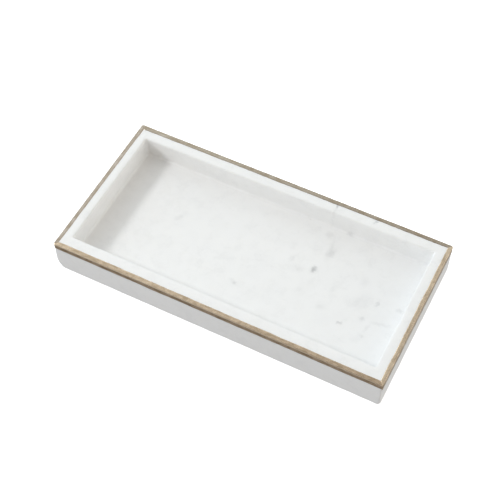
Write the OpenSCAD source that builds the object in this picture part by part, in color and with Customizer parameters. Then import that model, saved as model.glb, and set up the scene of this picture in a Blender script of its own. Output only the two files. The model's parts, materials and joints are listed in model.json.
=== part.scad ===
// Dresser vanity tray.
// A shallow rectangular tray carved from one block of white marble. A thin gilt edge wraps the
// outer top corner of each side, and four felt pads stuck under the corners keep the stone off
// the furniture.
// Units are millimetres. +Z is up, the long side runs along X, the front is at -Y, and the origin
// is under the middle of the tray, on the surface that the pads rest on.

/* [Marble body] */
// Length of the marble, outside to outside
body_length = 254; // [180:1:400]
// Width of the marble, outside to outside
body_width = 127; // [90:1:240]
// Height of the marble, from its underside to its rim
body_height = 26.4; // [20:0.2:40]
// Radius of the four outer vertical corners
outer_corner_r = 1.6; // [1.6:0.1:6]
// Rounding of the lower outer edge
lower_edge_r = 0.5; // [0.4:0.1:1.4]
// Rounding of the upper outer edge, under the gilt
upper_edge_r = 0.4; // [0.3:0.1:1.4]

/* [Pocket] */
// Width of the rim along the front and the back, from the outer face to the pocket's wall
long_rim_width = 11.2; // [8:0.1:16]
// Width of the rim at the left and right ends
end_rim_width = 9.7; // [8:0.1:16]
// Thickness of the stone left under the pocket
floor_thickness = 9.6; // [5:0.2:12]
// Radius of the pocket's four vertical corners
pocket_corner_r = 2.2; // [2.2:0.1:12]
// Radius where the pocket's walls turn into its floor
pocket_floor_r = 2; // [0.5:0.1:2.1]
// Rounding of the rim's inner edge
rim_inner_r = 1.3; // [0.5:0.1:2.4]

/* [Gilt edge] */
// Width of the gilt on top of the rim
gilt_top_width = 3.3; // [2.6:0.1:5]
// Height of the gilt down the outer face
gilt_side_height = 4.4; // [2:0.1:6]
// Thickness of the gilt
gilt_thickness = 0.25; // [0.15:0.05:0.6]

/* [Feet] */
// Diameter of a felt pad
pad_diameter = 14; // [10:0.5:20]
// Thickness of a felt pad
pad_thickness = 1.5; // [1:0.1:3]
// Diameter of the adhesive disc between a pad and the stone
adhesive_diameter = 13; // [8:0.5:20]
// Thickness of the adhesive disc
adhesive_thickness = 0.2; // [0.1:0.05:0.4]
// Distance from the tray's outer faces to the centre of a pad
pad_inset = 18; // [14:1:30]

/* [Hidden] */

$fn = 96;
// How far a cutting shape reaches past the surface that it cuts
reach_past = 1;

marble_colour = [0.95, 0.95, 0.94];
gilt_colour = [0.72, 0.61, 0.40];
felt_colour = [0.88, 0.86, 0.82];
adhesive_colour = [0.93, 0.93, 0.88];

// Heights of the layers above the furniture
pad_top_z = pad_thickness;
body_bottom_z = pad_top_z + adhesive_thickness;
rim_z = body_bottom_z + body_height;
pocket_floor_z = body_bottom_z + floor_thickness;

pocket_length = body_length - 2 * end_rim_width;
pocket_width = body_width - 2 * long_rim_width;
pocket_depth = rim_z - pocket_floor_z;

// Sides and corners of the tray as [x sign, y sign]
front = [0, -1];
back = [0, 1];
left = [-1, 0];
right = [1, 0];
front_left = [-1, -1];
front_right = [1, -1];
back_left = [-1, 1];
back_right = [1, 1];

// Carries a half section round a rectangle. The section has X = 0 on the axis of a corner turn
// and Y = 0 at the bottom, and its outermost point is corner_r from that axis.
module carry_round(length, width, corner_r, height) {
    run_x = length - 2 * corner_r;
    run_y = width - 2 * corner_r;
    translate([-run_x / 2, -run_y / 2, 0]) cube([run_x, run_y, height]);
    for (side = [0, 1]) rotate([0, 0, 180 * side]) {
        translate([run_x / 2, 0, 0]) straight_run(run_y) children();
        rotate([0, 0, 90]) translate([run_y / 2, 0, 0]) straight_run(run_x) children();
        translate([run_x / 2, run_y / 2, 0]) rotate_extrude(angle = 90) children();
        translate([-run_x / 2, run_y / 2, 0]) rotate([0, 0, 90]) rotate_extrude(angle = 90) children();
    }
}

// A half section drawn out along Y
module straight_run(run) {
    rotate([90, 0, 0]) linear_extrude(run, center = true) children();
}

// Half section of a block whose outer edges are rounded. A radius of 0 leaves that edge square.
module block_section(reach, height, lower_r, upper_r) {
    difference() {
        square([reach, height]);
        if (lower_r > 0) translate([reach, 0]) mirror([1, 0]) edge_cutter(lower_r);
        if (upper_r > 0) translate([reach, height]) rotate(180) edge_cutter(upper_r);
    }
}

// What a rounded edge loses, with the sharp edge at the origin and the stone towards +X and +Y
module edge_cutter(r) {
    difference() {
        translate([-reach_past, -reach_past]) square(r + reach_past);
        translate([r, r]) circle(r);
    }
}

// Half section of the space that the pocket takes away: it turns round into the floor, stands
// upright along the wall, and opens like a trumpet where the rim's inner edge is rounded.
module pocket_section() {
    block_section(pocket_corner_r, pocket_depth, pocket_floor_r, 0);
    difference() {
        translate([0, pocket_depth - rim_inner_r])
            square([pocket_corner_r + rim_inner_r, rim_inner_r + reach_past]);
        translate([pocket_corner_r + rim_inner_r, pocket_depth - rim_inner_r]) circle(rim_inner_r);
    }
}

module marble_block() {
    translate([0, 0, body_bottom_z])
        carry_round(body_length, body_width, outer_corner_r, body_height)
            block_section(outer_corner_r, body_height, lower_edge_r, upper_edge_r);
}

module pocket_space() {
    translate([0, 0, pocket_floor_z])
        carry_round(pocket_length, pocket_width, pocket_corner_r, pocket_depth + reach_past)
            pocket_section();
}

module tray_body() {
    color(marble_colour) difference() {
        marble_block();
        pocket_space();
    }
}

// The gilt all round: a skin over the upper outer edge, open in the middle
module gilt_ring() {
    skin_height = gilt_side_height + gilt_thickness;
    skin_corner_r = outer_corner_r + gilt_thickness;
    difference() {
        translate([0, 0, rim_z - gilt_side_height])
            carry_round(body_length + 2 * gilt_thickness, body_width + 2 * gilt_thickness,
                        skin_corner_r, skin_height)
                block_section(skin_corner_r, skin_height, 0, upper_edge_r + gilt_thickness);
        marble_block();
        translate([0, 0, rim_z]) cube([body_length - 2 * gilt_top_width,
            body_width - 2 * gilt_top_width, 4 * gilt_thickness], center = true);
    }
}

// The space over one side of the tray, cut at 45 degrees through the corners
module mitred_space(side) {
    out = gilt_thickness + reach_past;
    across = side[0] == 0 ? body_width : body_length;
    along = side[0] == 0 ? body_length : body_width;
    far = min(across, along) / 2;
    rotate([0, 0, atan2(side[1], side[0]) + 90])
        translate([0, -across / 2, rim_z - gilt_side_height - reach_past])
            linear_extrude(gilt_side_height + gilt_thickness + 2 * reach_past)
                polygon([[-along / 2 - out, -out], [along / 2 + out, -out],
                         [along / 2 - far, far], [far - along / 2, far]]);
}

module gilt_edge(side) {
    color(gilt_colour) intersection() {
        gilt_ring();
        mitred_space(side);
    }
}

module at_corner(corner) {
    translate([corner[0] * (body_length / 2 - pad_inset),
               corner[1] * (body_width / 2 - pad_inset), 0]) children();
}

module foot_pad(corner) {
    color(felt_colour) at_corner(corner) cylinder(h = pad_thickness, d = pad_diameter);
}

module adhesive_disc(corner) {
    color(adhesive_colour) at_corner(corner) translate([0, 0, pad_top_z])
        cylinder(h = adhesive_thickness, d = adhesive_diameter);
}

tray_body();
gilt_edge(front);  // gilt_edge_front
gilt_edge(back);  // gilt_edge_back
gilt_edge(left);  // gilt_edge_left
gilt_edge(right);  // gilt_edge_right
foot_pad(front_left);  // foot_pad_front_left
foot_pad(front_right);  // foot_pad_front_right
foot_pad(back_left);  // foot_pad_back_left
foot_pad(back_right);  // foot_pad_back_right
adhesive_disc(front_left);  // adhesive_disc_front_left
adhesive_disc(front_right);  // adhesive_disc_front_right
adhesive_disc(back_left);  // adhesive_disc_back_left
adhesive_disc(back_right);  // adhesive_disc_back_right
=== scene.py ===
# %% [markdown]
# # A marble vanity tray with a gilt edge
#
# The tray is one block of white marble with a pocket cut into it. A thin line of gold is laid
# by hand over the outer top edge, and four felt pads are stuck underneath. This lesson builds
# those pieces round a measured frame, gives each a finish made of shader nodes, and lights them
# like a small product set. The frame says where everything is, so it is loaded first.

# %% Load the frame
import json
import math

import bmesh
import bpy
import numpy as np
from mathutils import Matrix, Vector, noise


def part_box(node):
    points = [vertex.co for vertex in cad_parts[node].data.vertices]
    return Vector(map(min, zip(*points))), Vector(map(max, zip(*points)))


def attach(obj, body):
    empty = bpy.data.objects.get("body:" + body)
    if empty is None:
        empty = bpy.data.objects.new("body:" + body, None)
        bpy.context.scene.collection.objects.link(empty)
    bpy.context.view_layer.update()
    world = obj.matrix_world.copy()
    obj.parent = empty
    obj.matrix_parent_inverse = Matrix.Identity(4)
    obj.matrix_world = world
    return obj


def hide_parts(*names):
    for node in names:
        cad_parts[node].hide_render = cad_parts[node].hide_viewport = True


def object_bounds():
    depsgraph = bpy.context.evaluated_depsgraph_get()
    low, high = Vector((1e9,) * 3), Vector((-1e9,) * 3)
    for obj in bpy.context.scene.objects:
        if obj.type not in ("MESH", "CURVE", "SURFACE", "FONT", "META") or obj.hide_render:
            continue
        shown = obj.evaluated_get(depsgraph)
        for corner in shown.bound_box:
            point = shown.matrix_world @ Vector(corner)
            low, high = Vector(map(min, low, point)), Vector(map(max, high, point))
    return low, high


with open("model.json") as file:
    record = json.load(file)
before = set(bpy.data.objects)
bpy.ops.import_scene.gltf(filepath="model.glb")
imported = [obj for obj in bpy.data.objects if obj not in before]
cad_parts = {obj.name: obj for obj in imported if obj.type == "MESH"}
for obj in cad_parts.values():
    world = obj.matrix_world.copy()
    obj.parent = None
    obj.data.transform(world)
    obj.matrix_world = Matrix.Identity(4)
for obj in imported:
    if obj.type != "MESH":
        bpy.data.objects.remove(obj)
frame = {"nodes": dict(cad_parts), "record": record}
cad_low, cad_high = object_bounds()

MM = 0.001
print("frame:", len(frame["nodes"]), "nodes,",
      [round((high - low) / MM, 2) for low, high in zip(cad_low, cad_high)], "mm")

# %% [markdown]
# ## Read the sizes off the frame
#
# Heights and outside sizes come from the boxes of the frame's own parts, so nothing here has to
# be typed twice. Only what a box can't tell, such as how round an edge is, gets a number of its
# own. Everything is in metres, and `MM` turns a size in millimetres into metres.

# %% Sizes of the stone
stone_low, stone_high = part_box("tray_body")
HALF_X, HALF_Y = stone_high.x, stone_high.y
UNDER_Z, RIM_Z = stone_low.z, stone_high.z
FLOOR_Z = next(m["pos_m"][2] for m in frame["record"]["mounts"] if m["name"] == "pocket_floor")

LONG_RIM, END_RIM = 11.2 * MM, 9.7 * MM
POCKET_X, POCKET_Y = HALF_X - END_RIM, HALF_Y - LONG_RIM
OUTER_TURN, LOWER_EDGE, UPPER_EDGE = 1.5 * MM, 0.5 * MM, 0.4 * MM
POCKET_TURN, POCKET_FOOT_TURN = 1.4 * MM, 2.6 * MM
FLOOR_EDGE = 2.0 * MM
# Rounding where the rim turns down into the pocket, on each side.
INNER_EDGE = {"front": 0.4 * MM, "right": 0.3 * MM, "back": 1.3 * MM, "left": 1.3 * MM}
print("stone:", round(2 * HALF_X / MM, 1), "x", round(2 * HALF_Y / MM, 1), "x",
      round((RIM_Z - UNDER_Z) / MM, 1), "mm, pocket", round((RIM_Z - FLOOR_Z) / MM, 1), "mm deep")

# %% Sizes of the gilt and the feet
gilt_low, gilt_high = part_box("gilt_edge_front")
GILT_SKIN = gilt_high.z - RIM_Z
GILT_DROP = RIM_Z - gilt_low.z
SIDES = {"front": (0, -1), "right": (1, 0), "back": (0, 1), "left": (-1, 0)}
CORNERS = ("front_left", "front_right", "back_left", "back_right")
print("gilt:", round(GILT_SKIN / MM, 2), "mm thick,", round(GILT_DROP / MM, 1), "mm down the side")

# %% [markdown]
# ## Small tools for making meshes
#
# Every piece is made from arrays of points and lists of faces. `new_piece` turns those into a
# Blender object, shades it smooth and makes it ride on the tray, which is one rigid body. Noise
# comes from `mathutils`, which gives the same value for the same place each time.

# %% New piece
def new_piece(name, points, faces, stands_for):
    mesh = bpy.data.meshes.new(name)
    mesh.from_pydata([tuple(p) for p in points], [], faces)
    mesh.validate()
    mesh.update()
    mesh.shade_smooth()
    piece = bpy.data.objects.new(name, mesh)
    bpy.context.collection.objects.link(piece)
    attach(piece, "root")
    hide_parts(stands_for)
    print(name, "has", len(mesh.vertices), "points and", len(mesh.polygons), "faces")
    return piece


def wander(place, wavelength, seed=0.0):
    """Smooth noise from about -1 to 1 at a place, with bumps about one wavelength apart."""
    return noise.noise(Vector(place) / wavelength + Vector((seed, seed * 0.7, -seed)))


def ease(t):
    """0 at 0, 1 at 1, and level at both ends."""
    t = min(max(t, 0.0), 1.0)
    return t * t * (3 - 2 * t)

# %% [markdown]
# ## The marble body
#
# A cutter hollows the real tray out of a solid block, and the edges are then rubbed soft by
# hand. A cube with a boolean hole would give the shape but poor edges. Here the whole skin is a
# stack of outlines instead: each is a rectangle with round corners, and together they run from
# the underside, up the outside, over the rim, down into the pocket and out across its floor.
# Every outline has the same number of points, so two neighbours join in clean four-sided faces.

# %% One outline
LONG_STEPS, SHORT_STEPS, TURN_STEPS = 160, 80, 12
TURNS = ((1, -1), (1, 1), (-1, 1), (-1, -1))


def outline(half_x, half_y, turn_radii, z):
    """Points round a rectangle with round corners, starting in the middle of the front left turn."""
    centres = [Vector((sx * (half_x - r), sy * (half_y - r)))
               for (sx, sy), r in zip(TURNS, turn_radii)]
    points = []
    for k in range(4):
        start_angle = math.radians(90 * k - 90)
        before, radius = centres[k - 1], turn_radii[k]
        side_from = before + turn_radii[k - 1] * Vector((math.cos(start_angle), math.sin(start_angle)))
        side_to = centres[k] + radius * Vector((math.cos(start_angle), math.sin(start_angle)))
        steps = LONG_STEPS if k % 2 == 0 else SHORT_STEPS
        points += [side_from.lerp(side_to, i / steps) for i in range(steps)]
        for i in range(TURN_STEPS):
            angle = start_angle + math.pi / 2 * i / TURN_STEPS
            points.append(centres[k] + radius * Vector((math.cos(angle), math.sin(angle))))
    half_turn = TURN_STEPS // 2
    points = points[-half_turn:] + points[:-half_turn]
    return [(p.x, p.y, z) for p in points]

# %% [markdown]
# The lower front left corner of a hand-finished block is rarely as crisp as the rest. On this
# tray it is rubbed well round near the table and sharpens again higher up, and the other three
# corners are only eased. `lower_turn` gives a corner's radius at a height.

# %% Corner radii up the outside
RUBBED = {3: (5.2 * MM, 10.0 * MM)}
EASED = (1.5 * MM, 8.0 * MM)
LEAST_TURN = 0.4 * MM


def lower_turn(corner, z):
    """Radius of an outer corner at height z. Corners count from the front right, anticlockwise."""
    extra, reach = RUBBED.get(corner, EASED)
    left = 1 - (z - UNDER_Z) / reach
    return OUTER_TURN + extra * max(left, 0.0) ** 2


def outer_ring(inset, z):
    radii = [max(lower_turn(k, z) - inset, LEAST_TURN) for k in range(4)]
    return outline(HALF_X - inset, HALF_Y - inset, radii, z)

# %% [markdown]
# The rings are listed in the order that a finger would travel: underside, lower edge, outer
# face, upper edge, rim, inner edge, pocket wall, and the small hollow where the wall turns into
# the floor. Each round edge is a quarter circle, worked out from its radius.

# %% Rings from the underside to the rim
UNDER_INSETS = (7.0 * MM, 4.0 * MM)
LOWER_EDGE_STEPS, UPPER_EDGE_STEPS = 6, 5


def quarter(steps):
    """Angles over a quarter turn, without the first."""
    return [math.pi / 2 * (i + 1) / steps for i in range(steps)]


rings, is_edge = [], []


def add_ring(ring, edge=False):
    rings.append(ring)
    is_edge.append(edge)


for inset in UNDER_INSETS:
    add_ring(outer_ring(inset, UNDER_Z))
add_ring(outer_ring(LOWER_EDGE, UNDER_Z), True)
for a in quarter(LOWER_EDGE_STEPS):
    add_ring(outer_ring(LOWER_EDGE * (1 - math.sin(a)), UNDER_Z + LOWER_EDGE * (1 - math.cos(a))), True)

wall_from, wall_to, WALL_STEPS = UNDER_Z + LOWER_EDGE, RIM_Z - UPPER_EDGE, 16
for i in range(1, WALL_STEPS):
    add_ring(outer_ring(0.0, wall_from + (wall_to - wall_from) * i / WALL_STEPS))
add_ring(outer_ring(0.0, wall_to), True)
for a in quarter(UPPER_EDGE_STEPS):
    add_ring(outer_ring(UPPER_EDGE * (1 - math.cos(a)), wall_to + UPPER_EDGE * math.sin(a)), True)

print(len(rings), "rings up to the rim")

# %% [markdown]
# The pocket's top edge isn't rubbed the same all round: the back and left walls roll over
# softly, and the front and right ones are nearly sharp. Each point of the pocket's outline
# faces some way, and its share of each side's rounding follows from that direction. So the
# rounding changes smoothly through a corner.

# %% Rings over the rim and down the pocket wall
RIM_STEPS, INNER_EDGE_STEPS, INNER_STEPS = 8, 7, 12


def pocket_line(grown):
    """The pocket's outline at the rim, moved out by a distance."""
    return np.array(outline(POCKET_X + grown, POCKET_Y + grown, [POCKET_TURN + grown] * 4, 0.0))


facing = (pocket_line(MM) - pocket_line(0.0)) / MM
left_or_right = np.where(facing[:, 0] > 0, INNER_EDGE["right"], INNER_EDGE["left"])
front_or_back = np.where(facing[:, 1] > 0, INNER_EDGE["back"], INNER_EDGE["front"])
roll = left_or_right * facing[:, 0] ** 2 + front_or_back * facing[:, 1] ** 2


def rolled_ring(a):
    """The pocket's edge at an angle of its rounding: 0 is on the rim and a quarter turn on the wall."""
    ring = pocket_line(0.0) + facing * (roll * (1 - math.sin(a)))[:, None]
    ring[:, 2] = RIM_Z - roll * (1 - math.cos(a))
    return ring


rim_from = np.array(outer_ring(UPPER_EDGE, RIM_Z))
rim_to = rolled_ring(0.0)
for i in range(1, RIM_STEPS):
    add_ring((rim_from + (rim_to - rim_from) * i / RIM_STEPS).tolist())
add_ring(rim_to.tolist(), True)
for a in quarter(INNER_EDGE_STEPS):
    add_ring(rolled_ring(a).tolist(), True)

wall_top, wall_foot = RIM_Z - roll, FLOOR_Z + FLOOR_EDGE
for i in range(1, INNER_STEPS + 1):
    down = i / INNER_STEPS
    turn = POCKET_TURN + (POCKET_FOOT_TURN - POCKET_TURN) * ease(down)
    ring = np.array(outline(POCKET_X, POCKET_Y, [turn] * 4, 0.0))
    ring[:, 2] = wall_top + (wall_foot - wall_top) * down
    add_ring(ring.tolist())
print(len(rings), "rings down to the foot of the pocket wall")

# %% Rings out across the pocket floor
FLOOR_EDGE_STEPS = 7
FLOOR_INSETS, FLOOR_SHEET_TURN = (3.5 * MM, 6.0 * MM), 1.2 * MM

for a in quarter(FLOOR_EDGE_STEPS):
    out = FLOOR_EDGE * (1 - math.cos(a))
    add_ring(outline(POCKET_X - out, POCKET_Y - out, [POCKET_FOOT_TURN - out] * 4,
                     FLOOR_Z + FLOOR_EDGE * (1 - math.sin(a))), True)
for inset in FLOOR_INSETS:
    add_ring(outline(POCKET_X - inset, POCKET_Y - inset, [FLOOR_SHEET_TURN] * 4, FLOOR_Z))
print(len(rings), "rings in all, of", len(rings[0]), "points")

# %% [markdown]
# Rings alone would leave a rectangular hole in the middle of the floor and of the underside. A
# sheet of squares closes each. Its edge points are the last ring's own points, and a point
# inside is blended from the four edges, which is called a Coons patch. Because the ring starts
# in the middle of a corner turn, its four quarters are the four edges of the sheet.

# %% A sheet of squares inside a ring
ACROSS, ALONG = SHORT_STEPS + TURN_STEPS, LONG_STEPS + TURN_STEPS
RING = 2 * (ACROSS + ALONG)


def sheet_inside(ring, ring_start, new_start):
    """Inner points, and a table of point numbers with the ring's own numbers round its edge."""
    p = np.array(ring)
    number = np.zeros((ALONG + 1, ACROSS + 1), int)
    front, right = np.arange(ALONG + 1), ALONG + np.arange(ACROSS + 1)
    back, left = RING - ACROSS - np.arange(ALONG + 1), (RING - np.arange(ACROSS + 1)) % RING
    u = np.linspace(0, 1, ALONG + 1)[:, None, None]
    v = np.linspace(0, 1, ACROSS + 1)[None, :, None]
    corners = ((1 - u) * (1 - v) * p[front[0]] + u * (1 - v) * p[front[-1]]
               + (1 - u) * v * p[back[0]] + u * v * p[back[-1]])
    places = ((1 - v) * p[front][:, None] + v * p[back][:, None]
              + (1 - u) * p[left][None] + u * p[right][None] - corners)
    number[1:-1, 1:-1] = new_start + np.arange((ALONG - 1) * (ACROSS - 1)).reshape(ALONG - 1, -1)
    number[:, 0], number[:, -1] = ring_start + front, ring_start + back
    number[0, :], number[-1, :] = ring_start + left, ring_start + right
    return places[1:-1, 1:-1].reshape(-1, 3), number


def squares(number):
    """Faces between neighbours in a table of point numbers."""
    a, b, c, d = number[:-1, :-1], number[1:, :-1], number[1:, 1:], number[:-1, 1:]
    return np.stack([a, b, c, d], -1).reshape(-1, 4).tolist()


def joined_rings(count, size):
    """Faces between each closed ring and the next, seen from outside."""
    number = np.arange(count * size).reshape(count, size)
    closed = np.concatenate([number, number[:, :1]], 1)
    a, b, c, d = closed[:-1, :-1], closed[:-1, 1:], closed[1:, 1:], closed[1:, :-1]
    return np.stack([a, b, c, d], -1).reshape(-1, 4).tolist()

# %% Make the marble body
stone_points = [p for ring in rings for p in ring]
floor_points, floor_number = sheet_inside(rings[-1], RING * (len(rings) - 1), len(stone_points))
stone_points += floor_points.tolist()
under_points, under_number = sheet_inside(rings[0], 0, len(stone_points))
stone_points += under_points.tolist()
stone_faces = joined_rings(len(rings), RING) + squares(floor_number)
stone_faces += [face[::-1] for face in squares(under_number)]
marble_body = new_piece("marble_body", stone_points, stone_faces, "tray_body")

# %% [markdown]
# Rubbing stone with a wet pad leaves it flat to the eye but never perfect. Each point moves a
# few hundredths of a millimetre along its own normal, and a little more on the edges, where the
# pad bites. The outer top edge wavers most, because it's rubbed again once the gold is dry.
# Outer faces only move inwards, so the body keeps its size.

# %% How far the top edge stands back
SLOW_WAVE, SLOW_RUB = 16 * MM, 0.09
QUICK_WAVE, QUICK_RUB = 4 * MM, 0.04
RUB_DOWN, RUB_INWARD = 8 * MM, 6 * MM


def rubbed_back(place):
    """Distance that the outer top edge stands back from true at a place on the true surface."""
    edge = Vector((place.x, place.y, 0))
    amount = (SLOW_RUB * (1 + wander(edge, SLOW_WAVE, 9.0))
              + QUICK_RUB * (1 + wander(edge, QUICK_WAVE, 6.0)))
    down = RIM_Z - place.z
    inward = min(HALF_X - abs(place.x), HALF_Y - abs(place.y))
    return amount * MM * ease(1.75 - down / RUB_DOWN) * ease(1 - inward / RUB_INWARD)

# %% Hand finish
FACE_WAVE, FACE_SIZE = 38 * MM, 0.035 * MM
EDGE_WAVE, EDGE_SIZE = 11 * MM, 0.16 * MM
edge_share = np.repeat(np.array(is_edge, float), RING)
normals = [v.normal.copy() for v in marble_body.data.vertices]
moved = 0.0
for vertex, normal in zip(marble_body.data.vertices, normals):
    share = edge_share[vertex.index] if vertex.index < len(edge_share) else 0.0
    shift = FACE_SIZE * (wander(vertex.co, FACE_WAVE) - 1)
    if vertex.co.z < RIM_Z - 2 * UPPER_EDGE or abs(vertex.co.y) < POCKET_Y + 2 * INNER_EDGE["back"]:
        shift += share * EDGE_SIZE * (wander(vertex.co, EDGE_WAVE, 5.0) - 0.6)
    shift -= rubbed_back(vertex.co)
    vertex.co += normal * shift
    moved = max(moved, abs(shift))
marble_body.data.update()
print("largest move in the hand finish:", round(moved / MM, 3), "mm")

# %% [markdown]
# ## The gilt edge
#
# The gold is laid with a narrow brush or foil, one side of the tray at a time, so its inner
# border on the rim and its lower border on the face both wander, and the coat is a little
# thicker where strokes overlap. A bevel in a second colour would be too perfect. Each run here
# is its own thin shell: sections a fraction of a millimetre apart follow the stone's edge, and
# each section runs from the inner border, over the round edge, down to the lower border.

# %% One section across the gilt
TOP_STEPS, TURN_OVER_STEPS, DROP_STEPS = 10, 7, 9
COAT, COAT_CHANGE, SUNK = 0.17 * MM, 0.06 * MM, 0.2 * MM
BORDER_ROUND = 0.32 * MM


def coat_at(place, from_border):
    """Thickness of the gilt at a place, thinning to nothing in a round shoulder at its border."""
    strokes = 0.65 * wander(place, 3.2 * MM, 2.0) + 0.35 * wander(place, 1.1 * MM, 9.0)
    shoulder = min(from_border / BORDER_ROUND, 1.0)
    return (COAT + COAT_CHANGE * strokes) * math.sqrt(max(1 - (1 - shoulder) ** 2, 0.0)) + 0.01 * MM


def gilt_section(base, outward, top_width, drop):
    """Upper and sunk points of one section. base is on the outer face at the rim's height."""
    path = []
    for i in range(TOP_STEPS):
        inset = top_width + (UPPER_EDGE - top_width) * i / TOP_STEPS
        path.append((inset, 0.0, 0.0, top_width - inset))
    over = math.pi / 2 * UPPER_EDGE
    for i in range(TURN_OVER_STEPS + 1):
        angle = math.pi / 2 * i / TURN_OVER_STEPS
        path.append((UPPER_EDGE * (1 - math.sin(angle)), UPPER_EDGE * (1 - math.cos(angle)), angle,
                     top_width - UPPER_EDGE + over * i / TURN_OVER_STEPS))
    straight = drop - UPPER_EDGE
    for i in range(DROP_STEPS):
        down = straight * (i + 1) / DROP_STEPS
        path.append((0.0, UPPER_EDGE + down, math.pi / 2, top_width - UPPER_EDGE + over + down))
    length = path[-1][3]
    upper, sunk = [], []
    for inset, lower, angle, travelled in path:
        place = base - outward * inset - Vector((0, 0, lower))
        normal = outward * math.sin(angle) + Vector((0, 0, math.cos(angle)))
        stone = place - normal * rubbed_back(place)
        upper.append(stone + normal * coat_at(place, min(travelled, length - travelled)))
        sunk.append(stone - normal * SUNK)
    return upper, sunk

# %% [markdown]
# A run is as long as its side. At each end it turns half way round the corner and stops on the
# diagonal, where it meets its neighbour. Near the end the strip on the rim is cut short along
# that diagonal, as two strips of foil would be. The border widths differ from side to side, as
# hand work does.

# %% Borders of the gilt
# Width on the rim at the left or front end of each side, and at its other end.
TOP_WIDTH = {"front": (3.4 * MM, 3.05 * MM), "back": (3.95 * MM, 3.3 * MM),
             "left": (2.9 * MM, 3.3 * MM), "right": (3.05 * MM, 3.15 * MM)}
# How much further than the frame says the gold folds down the face on each side.
LOWER_BY = {"front": 0.4 * MM, "right": 2.0 * MM, "back": 0.0, "left": 0.0}
SLOW_WANDER, QUICK_TREMBLE = 0.24 * MM, 0.13 * MM
STATION = 0.5 * MM
END_STEPS = 8
CORNER_ROOM = 0.97


def border(place, middle, seed):
    """A hand-drawn border: a slow wander with a quicker tremble on it."""
    return (middle + SLOW_WANDER * wander(place, 14 * MM, seed)
            + QUICK_TREMBLE * wander(place, 3.0 * MM, seed + 4))

# %% One run of gilt
def gilt_stations(side):
    """Base point, outward direction and room on the rim, from one end of a side to the other."""
    out = Vector((*SIDES[side], 0))
    along = Vector((-out.y, out.x, 0))
    half_run, half_out = (HALF_X, HALF_Y) if out.x == 0 else (HALF_Y, HALF_X)
    straight = half_run - OUTER_TURN
    stations = []
    for end, order in ((-1, range(END_STEPS, 0, -1)), (1, range(1, END_STEPS + 1))):
        centre = along * straight * end + out * (half_out - OUTER_TURN)
        for i in order:
            angle = math.pi / 4 * i / END_STEPS
            direction = out * math.cos(angle) + along * math.sin(angle) * end
            stations.append((centre + direction * OUTER_TURN, direction, CORNER_ROOM * OUTER_TURN))
        if end == -1:
            count = round(2 * straight / STATION)
            for i in range(count + 1):
                s = -straight + 2 * straight * i / count
                stations.append((along * s + out * half_out, out, half_run - abs(s)))
    return [(Vector((base.x, base.y, RIM_Z)), direction, room) for base, direction, room in stations]


def gilt_run(side, seed):
    sections = []
    near, far = TOP_WIDTH[side]
    for base, outward, room in gilt_stations(side):
        along = base.x / HALF_X if SIDES[side][0] == 0 else base.y / HALF_Y
        top_width = min(border(base, near + (far - near) * (along + 1) / 2, seed), room)
        drop = border(base, GILT_DROP + LOWER_BY[side], seed + 20)
        upper, sunk = gilt_section(base, outward, top_width, drop)
        sections.append(upper + sunk[::-1])
    size = len(sections[0])
    points = [p for section in sections for p in section]
    faces = joined_rings(len(sections), size)
    half = size // 2
    caps = [(i, i + 1, size - 2 - i, size - 1 - i) for i in range(half - 1)]
    last = size * (len(sections) - 1)
    faces += [tuple(reversed(cap)) for cap in caps]
    faces += [tuple(last + i for i in cap) for cap in caps]
    return new_piece("gilt_" + side, points, faces, "gilt_edge_" + side)


gilt_runs = {side: gilt_run(side, 30.0 + 7 * i) for i, side in enumerate(SIDES)}

# %% [markdown]
# ## The felt pads
#
# A stick-on pad is a disc punched from a sheet of pressed felt: its rim is nearly square but
# fuzzy, and its faces are flat with a soft nap. A plain cylinder has none of that. The pad is
# turned from rings like the stone, and noise then lifts its skin by a tenth of a millimetre,
# inwards only, so that it still fits the place that the frame keeps for it.

# %% Make the pads
PAD_SPOKES = 96
NAP = 0.11 * MM


def felt_pad(corner, seed):
    low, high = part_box("foot_pad_" + corner)
    centre = (low + high) / 2
    radius, edge = (high.x - low.x) / 2, 0.35 * MM
    profile = [(radius * f, low.z) for f in (0.12, 0.3, 0.5, 0.7, 0.85)]
    profile += [(radius - edge * (1 - math.sin(a)), low.z + edge * (1 - math.cos(a)))
                for a in [0.0] + quarter(4)]
    profile += [(radius, low.z + edge + (high.z - low.z - 2 * edge) * i / 4) for i in (1, 2, 3)]
    profile += [(radius - edge * (1 - math.cos(a)), high.z - edge * (1 - math.sin(a)))
                for a in [0.0] + quarter(4)]
    profile += [(radius * f, high.z) for f in (0.8, 0.6, 0.4, 0.12)]
    points = [(centre.x, centre.y, low.z)]
    for reach, z in profile:
        for i in range(PAD_SPOKES):
            angle = 2 * math.pi * i / PAD_SPOKES
            place = Vector((centre.x + reach * math.cos(angle), centre.y + reach * math.sin(angle), z))
            shrink = NAP * (0.5 + 0.5 * wander(place, 0.9 * MM, seed))
            inward = Vector((centre.x - place.x, centre.y - place.y, 0))
            if reach > radius - edge and inward.length > 0:
                place += inward.normalized() * shrink
            elif z == low.z:
                place.z += shrink * 0.5 * ease((reach / radius) * 4)
            points.append(tuple(place))
    points.append((centre.x, centre.y, high.z))
    faces = [[1 + k for k in face] for face in joined_rings(len(profile), PAD_SPOKES)]
    top = len(points) - 1
    for i in range(PAD_SPOKES):
        following = (i + 1) % PAD_SPOKES
        faces.append((0, 1 + following, 1 + i))
        faces.append((top, top - PAD_SPOKES + i, top - PAD_SPOKES + following))
    return new_piece("felt_pad_" + corner, points, faces, "foot_pad_" + corner)


felt_pads = [felt_pad(corner, 3.0 + i) for i, corner in enumerate(CORNERS)]

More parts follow.
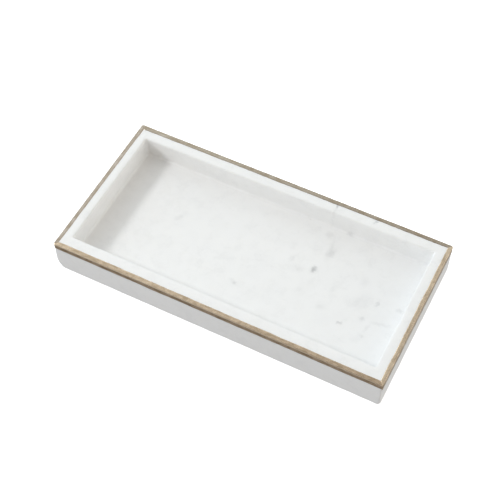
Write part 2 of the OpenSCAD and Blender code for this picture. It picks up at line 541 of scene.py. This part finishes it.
# %% [markdown]
# ## Writing shaders as sums
#
# A node tree is easier to read as arithmetic. `Value` wraps one socket and turns `+`, `-`, `*`
# and `/` into Math nodes, in either order, so `1 - mask` works. `Graph` holds a node tree, and
# its `add` method makes any other node: first its settings, then what goes into its sockets.
# `Finish` is the graph of one new material.

# %% A socket that can be added and multiplied
class Value:
    def __init__(self, graph, socket):
        self.graph = graph
        self.socket = socket

    def maths(self, operation, *inputs):
        return self.graph.add("ShaderNodeMath", {"operation": operation}, dict(enumerate(inputs)))

    def __add__(self, other):
        return self.maths("ADD", self, other)

    def __radd__(self, other):
        return self.maths("ADD", other, self)

    def __sub__(self, other):
        return self.maths("SUBTRACT", self, other)

    def __rsub__(self, other):
        return self.maths("SUBTRACT", other, self)

    def __mul__(self, other):
        return self.maths("MULTIPLY", self, other)

    def __rmul__(self, other):
        return self.maths("MULTIPLY", other, self)

    def __truediv__(self, other):
        return self.maths("DIVIDE", self, other)

    def __rtruediv__(self, other):
        return self.maths("DIVIDE", other, self)

    def size(self):
        return self.maths("ABSOLUTE", self)

    def at_most(self, other):
        return self.maths("MINIMUM", self, other)

    def at_least(self, other):
        return self.maths("MAXIMUM", self, other)

# %% A graph and its one way to add a node
class Graph:
    def __init__(self, tree):
        self.tree = tree

    def add(self, kind, settings=None, inputs=None, output=0):
        node = self.tree.nodes.new(kind)
        for name, setting in (settings or {}).items():
            setattr(node, name, setting)
        for name, given in (inputs or {}).items():
            self.put(node.inputs[name], given)
        return Value(self, node.outputs[output])

    def put(self, socket, given):
        if isinstance(given, Value):
            self.tree.links.new(given.socket, socket)
        else:
            socket.default_value = given

    def split(self, vector):
        """The three parts of a vector, as values."""
        whole = self.add("ShaderNodeSeparateXYZ", {}, {0: vector})
        return [Value(self, output) for output in whole.socket.node.outputs]

    def vector(self, operation, first, second, output=0):
        second_name = "Scale" if operation == "SCALE" else 1
        return self.add("ShaderNodeVectorMath", {"operation": operation},
                        {0: first, second_name: second}, output)


class Finish(Graph):
    def __init__(self, name):
        self.material = bpy.data.materials.new(name)
        self.material.use_nodes = True
        super().__init__(self.material.node_tree)
        self.shader = self.tree.nodes["Principled BSDF"]

    def shade(self, **inputs):
        for name, given in inputs.items():
            self.put(self.shader.inputs[name.replace("_", " ")], given)

# %% [markdown]
# Four helpers do most of the drawing. `place_in_mm` gives the point's own place on the tray in
# millimetres, so a pattern's size can be given in millimetres too. `cloud` is noise, `fade`
# turns a distance into a soft-edged mask, and `tint` mixes two colours by a mask.

# %% Drawing helpers
def place_in_mm(finish, stretch=(1, 1, 1)):
    own = finish.add("ShaderNodeTexCoord", output="Object")
    return finish.vector("MULTIPLY", own, tuple(s / MM for s in stretch))


def cloud(finish, place, size, detail=2.0, roughness=0.5, shift=0.0):
    """Noise from 0 to 1 whose blobs are about size millimetres across."""
    moved_place = finish.vector("ADD", place, (shift, -shift, 0.6 * shift))
    return finish.add("ShaderNodeTexNoise", {"noise_dimensions": "3D"},
                      {"Vector": moved_place, "Scale": 1 / size, "Detail": detail,
                       "Roughness": roughness})


def fade(finish, distance, full, nothing):
    """1 where distance is under full, 0 where it is over nothing, and smooth between."""
    return finish.add("ShaderNodeMapRange", {"interpolation_type": "SMOOTHSTEP"},
                      {"Value": distance, "From Min": full, "From Max": nothing,
                       "To Min": 1.0, "To Max": 0.0})


def tint(finish, mask, colour_from, colour_to):
    return finish.add("ShaderNodeMix", {"data_type": "RGBA"},
                      {"Factor": mask, 6: colour_from, 7: colour_to}, output=2)


def shaded_bump(finish, height, depth, strength=1.0):
    return finish.add("ShaderNodeBump", {},
                      {"Height": height, "Distance": depth, "Strength": strength})

# %% [markdown]
# ## The marble finish
#
# This is a very pure white marble. What little grey it has comes as tiny smudges of graphite
# and as faint seams. A seam is a thin sheet through the whole block, so it shows on the rim and
# carries on down the pocket wall, and a smudge is a small blob inside the stone that the cutter
# happened to open. Both are drawn in three dimensions, and warped by noise so that no line is
# straight and no blob is round.

# %% Smudges, listed one by one
# Each smudge in millimetres and degrees: how far right and back of the middle of the tray, how
# far it reaches the long way and the wide way, how far the long way is turned, how dark it is.
FLOOR_SMUDGES = (
    (42.7, 11.2, 3.9, 3.0, 80, 0.46), (43.2, 11.0, 6.5, 5.0, 60, 0.10),
    (78.0, -21.6, 3.4, 2.2, 35, 0.32), (-2.2, -24.8, 2.8, 2.0, -20, 0.24),
    (-5.5, -23.4, 4.0, 2.2, -20, 0.09), (90.4, -11.4, 3.6, 2.8, -20, 0.20),
    (96.3, -24.3, 2.8, 2.2, 0, 0.14), (95.4, 4.8, 4.4, 1.8, 85, 0.22), (111.4, 6.4, 3.4, 2.8, 0, 0.16),
    (104.0, -10.0, 11.0, 1.9, 11, 0.11), (60.2, -15.7, 5.5, 3.6, 30, 0.09),
    (96.5, -17.0, 5.5, 2.0, 80, 0.10), (47.8, 29.5, 7.0, 4.2, 80, 0.16),
    (46.0, 37.0, 10.0, 2.4, 100, 0.08), (40.8, 44.6, 5.5, 4.2, 0, 0.12),
    (24.7, 13.4, 5.0, 3.2, 80, 0.10), (80.0, 17.7, 6.0, 4.0, 90, 0.06), (41.0, -9.0, 3.4, 3.0, 0, 0.06),
    (62.0, 2.6, 5.5, 2.2, 80, 0.06), (53.5, 51.8, 4.2, 2.2, 0, 0.20), (20.6, 51.8, 2.0, 1.6, 0, 0.16),
    (-66.0, 8.0, 5.0, 3.0, 60, 0.10), (31.0, 7.0, 11.0, 6.0, 20, 0.05),
    (48.0, 33.0, 13.0, 8.0, 80, 0.06), (84.0, 2.0, 14.0, 8.0, 60, 0.045),
)
RIM_SMUDGES = ((38.8, 59.4, 3.4, 1.7, 100, 0.42), (69.5, 58.6, 2.8, 1.6, 60, 0.34))
# A dark pit on the lower front edge, which also says how tall it is.
EDGE_PIT = (75.5, -63.2, 3.6, 2.0, 0, 0.80, 2.4)


def smudge_mask(finish, place, height, right, back, long_way, wide_way, turn, dark, tall=None):
    """A soft-edged egg, squeezed and turned, as a mask. The texture kind of mapping undoes each."""
    own = finish.add("ShaderNodeMapping", {"vector_type": "TEXTURE"},
                     {"Vector": place, "Location": (right, back, height / MM),
                      "Rotation": (0, 0, math.radians(turn)),
                      "Scale": (long_way, wide_way, tall or long_way)})
    distance = finish.vector("LENGTH", own, (0, 0, 0), output="Value")
    return dark * fade(finish, distance, 0.1, 1.0)

# %% [markdown]
# The two seams cross the back rim and go down the pocket wall. They are soft bands, a few
# millimetres wide, that come and go as they run.

# %% Seams
# Each seam in millimetres: how far right it is, how far forward it reaches, how dark it is.
SEAMS = ((38.8, 15.0, 0.11), (69.3, 10.0, 0.06))


def seam_mask(finish, warped, right, reach, dark):
    x, y, _ = finish.split(warped)
    from_back = HALF_Y / MM - y
    comes_and_goes = fade(finish, cloud(finish, warped, 5.0, 2.0, 0.5, right), 0.62, 0.38)
    across = fade(finish, (x - right).size(), 0.2, 2.4)
    along = fade(finish, from_back, 0.6 * reach, reach)
    return dark * comes_and_goes * across * along

# %% [markdown]
# The stone is honed and not mirror-polished: light sinks in a little and comes back soft, which
# is what the subsurface setting does, and the gloss is broad. The smudges take the polish less
# well, so the same mask that darkens them roughens them. A fine sparkle of crystal faces goes
# into the bump, at half a millimetre, too fine to see as pattern.

# %% Marble
STONE_WHITE = (0.885, 0.884, 0.880, 1)
STONE_CLOUD = (0.845, 0.845, 0.843, 1)
STONE_GREY = (0.30, 0.30, 0.31, 1)
# Sizes of the stone's patterns, in millimetres.
THIN_WISP, BROAD_WISP, MOTTLE, CLOUD, GRAIN = 46, 30, 9, 55, 0.55
WARP, WARP_REACH = 3.0, 5.0


def warped_place(finish, place, size, reach):
    """The place, pushed about by coloured noise with bumps of one size in millimetres."""
    push = finish.add("ShaderNodeTexNoise", {}, {"Vector": place, "Scale": 1 / size, "Detail": 4.0,
                                                 "Roughness": 0.6}, output="Color")
    both_ways = finish.vector("SUBTRACT", push, (0.5, 0.5, 0.5))
    return finish.vector("ADD", place, finish.vector("SCALE", both_ways, reach))


def make_marble():
    finish = Finish("honed_white_marble")
    place = place_in_mm(finish)
    warped = warped_place(finish, place, WARP, WARP_REACH)

    grey = smudge_mask(finish, warped, FLOOR_Z, *FLOOR_SMUDGES[0])
    for smudge in FLOOR_SMUDGES[1:]:
        grey = grey + smudge_mask(finish, warped, FLOOR_Z, *smudge)
    for smudge in RIM_SMUDGES:
        grey = grey + smudge_mask(finish, warped, RIM_Z, *smudge)
    grey = grey + smudge_mask(finish, place, UNDER_Z, *EDGE_PIT)
    for seam in SEAMS:
        grey = grey + seam_mask(finish, warped, *seam)
    from_wisp = (cloud(finish, place, THIN_WISP, 5.0, 0.62, 11.0) - 0.5).size()
    thin_wisps = fade(finish, from_wisp, 0.0, 0.012)
    from_wisp = (cloud(finish, place, BROAD_WISP, 4.0, 0.6, 57.0) - 0.5).size()
    broad_wisps = fade(finish, from_wisp, 0.0, 0.05)
    mottle = fade(finish, cloud(finish, place, MOTTLE, 3.0, 0.6, 23.0), 0.62, 0.40)
    grey = (grey + 0.03 * thin_wisps + 0.035 * broad_wisps * mottle + 0.02 * mottle).at_most(1.0)

    clouds = cloud(finish, place, CLOUD, 3.0, 0.55, 3.0)
    white = tint(finish, clouds, STONE_WHITE, STONE_CLOUD)
    grain = cloud(finish, place, GRAIN, 2.0, 0.6, 7.0)
    finish.shade(Base_Color=tint(finish, grey, white, STONE_GREY),
                 Roughness=0.33 + 0.10 * clouds + 0.25 * grey,
                 Normal=shaded_bump(finish, grain, 0.00002, 0.35),
                 IOR=1.49, Subsurface_Weight=0.12, Subsurface_Scale=0.004,
                 Subsurface_Radius=(1.0, 0.95, 0.85))
    return finish.material


marble = make_marble()
marble_body.data.materials.append(marble)
print("marble:", len(FLOOR_SMUDGES) + len(RIM_SMUDGES), "smudges, a pit and", len(SEAMS), "seams")

# %% [markdown]
# ## The gilt finish
#
# Gold is a metal, so its colour lives in its reflection. Brush strokes run along the edge, which
# makes streaks that are long one way and fine the other: the noise is simply squashed along the
# run. Thin places let the brown size under the gold show through, and those are darker and
# duller. The outer face is drawn browner and duller as well, and that is painted shade: the face
# turns away from the light. Each side has its own gold, and the back and the left are greyer. The
# sharp edge between rim and face carries a pale painted highlight on the front and a dark brown
# painted shade line on the right.

# %% Gilt
# Each side has its own gold colour; the back and the left are drawn greyer.
GOLD = {"front": (0.735, 0.570, 0.410, 1), "right": (0.900, 0.740, 0.555, 1),
        "back": (0.520, 0.450, 0.365, 1), "left": (0.535, 0.458, 0.385, 1)}
# Painted light on the outer arris: a pale painted highlight on the front, a dark painted shade line on
# the right.
ARRIS_HIGHLIGHT_AND_SHADE = {"front": (0.97, 0.86, 0.66, 1), "right": (0.16, 0.12, 0.07, 1)}
# Brown of the size where the gold is thin, also the colour of the painted shade on the outer face.
SIZE_BROWN_AND_FACE_SHADE = (0.250, 0.170, 0.085, 1)
STROKE_SQUASH = 0.28
# Sizes of the gold's patterns, in millimetres.
FINE_STROKE, BROAD_STROKE, PATCH = 0.45, 1.6, 6.0


def make_gilt(side):
    finish = Finish("gilt_on_the_" + side)
    place = place_in_mm(finish)
    long_way = (STROKE_SQUASH, 1, 1) if SIDES[side][0] == 0 else (1, STROKE_SQUASH, 1)
    strokes = place_in_mm(finish, long_way)
    fine = cloud(finish, strokes, FINE_STROKE, 3.0, 0.6)
    broad = cloud(finish, strokes, BROAD_STROKE, 2.0, 0.5, 8.0)
    patches = cloud(finish, place, PATCH, 4.0, 0.65, 5.0)
    uneven = 0.3 * fine + 0.4 * broad + 0.3 * patches
    height = finish.split(place)[2]
    depth = RIM_Z / MM - height
    on_top = fade(finish, depth, 0.5, 1.6)
    thin = fade(finish, uneven, 0.40, 0.60)
    # The first term is real thin wear. The second is painted shade, darkening the outer face, which turns
    # away from the light.
    wear_and_face_shade = 0.50 * thin + 0.40 * (1 - on_top)
    gold = tint(finish, wear_and_face_shade, GOLD[side], SIZE_BROWN_AND_FACE_SHADE)
    # Paints the arris colour: a painted highlight on the front and a painted shade line on the right.
    if side in ARRIS_HIGHLIGHT_AND_SHADE:
        along_the_arris = fade(finish, depth, 0.55, 0.95) * fade(finish, depth, 0.10, 0.02)
        gold = tint(finish, along_the_arris * (0.45 + 0.4 * fine), gold, ARRIS_HIGHLIGHT_AND_SHADE[side])
    finish.shade(Base_Color=gold,
                 Metallic=1.0 - 0.2 * wear_and_face_shade,
                 Roughness=0.20 + 0.14 * wear_and_face_shade + 0.10 * fine,
                 Normal=shaded_bump(finish, uneven, 0.00008, 0.5))
    return finish.material


for side, run in gilt_runs.items():
    run.data.materials.append(make_gilt(side))

# %% [markdown]
# ## Felt and adhesive
#
# Felt is matted fibre, so its pattern is many short hairs lying every way. Two noises squashed
# across each other stand for them, in the colour and in the bump. The adhesive is a thin milky
# film with a few trapped air patches, and it keeps the frame's own disc, which is the right
# shape already.

# %% Felt and adhesive
def make_felt():
    finish = Finish("pressed_felt")
    one_way = cloud(finish, place_in_mm(finish, (1, 0.15, 1)), 0.22, 3.0, 0.7)
    other_way = cloud(finish, place_in_mm(finish, (0.15, 1, 1)), 0.22, 3.0, 0.7, 4.0)
    fibres = one_way.at_least(other_way)
    finish.shade(Base_Color=tint(finish, fibres, (0.60, 0.57, 0.51, 1), (0.84, 0.82, 0.77, 1)),
                 Roughness=0.86 + 0.1 * fibres, Normal=shaded_bump(finish, fibres, 0.0002, 0.8),
                 Sheen_Weight=0.25)
    return finish.material


def make_adhesive():
    finish = Finish("adhesive_film")
    air = fade(finish, cloud(finish, place_in_mm(finish), 2.5, 2.0), 0.36, 0.44)
    finish.shade(Base_Color=tint(finish, air, (0.80, 0.78, 0.70, 1), (0.90, 0.89, 0.85, 1)),
                 Roughness=0.30 + 0.2 * air)
    return finish.material


felt, adhesive = make_felt(), make_adhesive()
for pad in felt_pads:
    pad.data.materials.append(felt)
for corner in CORNERS:
    disc = frame["nodes"]["adhesive_disc_" + corner]
    disc.data.materials.clear()
    disc.data.materials.append(adhesive)
print("felt on", len(felt_pads), "pads")

# %% [markdown]
# ## The set
#
# White stone on a white table needs light from one side, or its walls vanish. A soft lamp low on
# the left throws a short soft shadow into the pocket, and the inside of a white tent fills the
# rest. The table is a sheet of milky plastic lit from beneath, so that it stays white round the
# tray. It is kept out of the bounce, because so bright a sheet would wash out the front face; the
# floor of the tent stands in for it. Seen from below the table is clear, to show the feet.

# %% Table
TABLE_GLOW, TABLE_HALF = 0.65, 2.5


def make_table():
    mesh = bpy.data.meshes.new("table")
    shape = bmesh.new()
    bmesh.ops.create_grid(shape, x_segments=8, y_segments=8, size=TABLE_HALF)
    shape.to_mesh(mesh)
    shape.free()
    table = bpy.data.objects.new("table", mesh)
    bpy.context.collection.objects.link(table)
    table.visible_diffuse = False
    table.visible_glossy = False
    table.visible_shadow = False

    finish = Finish("white_table")
    finish.shade(Base_Color=(0.97, 0.97, 0.97, 1), Roughness=1.0, Specular_IOR_Level=0.0,
                 Emission_Color=(1, 1, 1, 1), Emission_Strength=TABLE_GLOW)
    clear = finish.add("ShaderNodeBsdfTransparent")
    from_below = finish.add("ShaderNodeNewGeometry", output="Backfacing")
    mixed = finish.add("ShaderNodeMixShader", {},
                       {0: from_below, 1: Value(finish, finish.shader.outputs[0]), 2: clear})
    finish.put(finish.tree.nodes["Material Output"].inputs["Surface"], mixed)
    finish.material.cycles.emission_sampling = "NONE"
    mesh.materials.append(finish.material)
    return table


table = make_table()

# %% [markdown]
# The tent is the world. For a world shader the generated coordinate is the direction looked in,
# so its three parts say how far right, back and up that is. The walls of the tent are bright on
# the left, a little less so on the right and at the back, and open in front. Its floor is
# a shade brighter towards the right.

# %% Tent
TENT_LEFT, TENT_RIGHT, TENT_BACK = (1.42, 1.65, 1.80), (1.17, 1.20, 1.17), (0.61, 0.67, 0.70)
TENT_TOP, TENT_FLOOR = (0.11, 0.06, 0.02), (0.42, 0.415, 0.425)
FLOOR_TO_THE_RIGHT = (0.16, 0.16, 0.15)
HORIZON_BLUR = 0.15


def make_tent():
    world = bpy.data.worlds.new("white_tent")
    bpy.context.scene.world = world
    world.use_nodes = True
    graph = Graph(world.node_tree)
    right, back, up = graph.split(graph.add("ShaderNodeTexCoord", output="Generated"))
    walls = graph.vector("SCALE", TENT_LEFT, (0 - right).at_least(0))
    walls = graph.vector("ADD", walls, graph.vector("SCALE", TENT_RIGHT, right.at_least(0)))
    walls = graph.vector("ADD", walls, graph.vector("SCALE", TENT_BACK, back.at_least(0)))
    walls = graph.vector("ADD", walls, TENT_TOP)
    above = 1 - fade(graph, up, -HORIZON_BLUR, HORIZON_BLUR)
    floor = graph.vector("SCALE", FLOOR_TO_THE_RIGHT, right.at_least(0))
    floor = graph.vector("ADD", floor, TENT_FLOOR)
    inside = graph.vector("ADD", graph.vector("SCALE", walls, above),
                          graph.vector("SCALE", floor, 1 - above))
    graph.put(graph.tree.nodes["Background"].inputs["Color"], inside)


make_tent()

# %% Lamp
LAMP_SWING, LAMP_HEIGHT = math.radians(25), math.radians(34)
LAMP_AWAY, LAMP_SIZE, LAMP_POWER = 3.5, 0.6, 47.6
centre = (cad_low + cad_high) / 2
toward_lamp = Vector((-math.cos(LAMP_HEIGHT) * math.cos(LAMP_SWING),
                      -math.cos(LAMP_HEIGHT) * math.sin(LAMP_SWING), math.sin(LAMP_HEIGHT)))
lamp_data = bpy.data.lights.new("soft_lamp", "AREA")
lamp_data.shape = "DISK"
lamp_data.size = LAMP_SIZE
lamp_data.energy = LAMP_POWER
lamp = bpy.data.objects.new("soft_lamp", lamp_data)
lamp.location = centre + toward_lamp * LAMP_AWAY
lamp.rotation_euler = toward_lamp.to_track_quat("Z", "Y").to_euler()
bpy.context.collection.objects.link(lamp)
print("lamp at", [round(v, 2) for v in lamp.location])

# %% [markdown]
# ## The camera
#
# A product shot like this is taken from high in front, turned a little to the right, with a
# long lens so that the sides stay nearly parallel. Its distance and aim are given as shares of
# the tray's own length, so the framing would hold for another size.

# %% Camera
CAMERA_SWING, CAMERA_HEIGHT, CAMERA_ROLL = math.radians(26.667), math.radians(54.091), math.radians(0.288)
CAMERA_AWAY, AIM_SIDE, AIM_BACK, LENS = 3.425, -0.0339, 0.0475, 85.49
tray_length = cad_high.x - cad_low.x
aim = Vector((AIM_SIDE * tray_length, AIM_BACK * tray_length, UNDER_Z))
toward_camera = Vector((math.sin(CAMERA_SWING) * math.cos(CAMERA_HEIGHT),
                        -math.cos(CAMERA_SWING) * math.cos(CAMERA_HEIGHT), math.sin(CAMERA_HEIGHT)))
camera_data = bpy.data.cameras.new("camera")
camera_data.lens = LENS
camera = bpy.data.objects.new("camera", camera_data)
upright = toward_camera.to_track_quat("Z", "Y").to_matrix().to_4x4()
camera.matrix_world = (Matrix.Translation(aim + toward_camera * CAMERA_AWAY * tray_length)
                       @ upright @ Matrix.Rotation(CAMERA_ROLL, 4, "Z"))
bpy.context.collection.objects.link(camera)
bpy.context.scene.camera = camera
bpy.context.scene.view_settings.view_transform = "Standard"
print("camera at", [round(v, 3) for v in camera.matrix_world.translation])
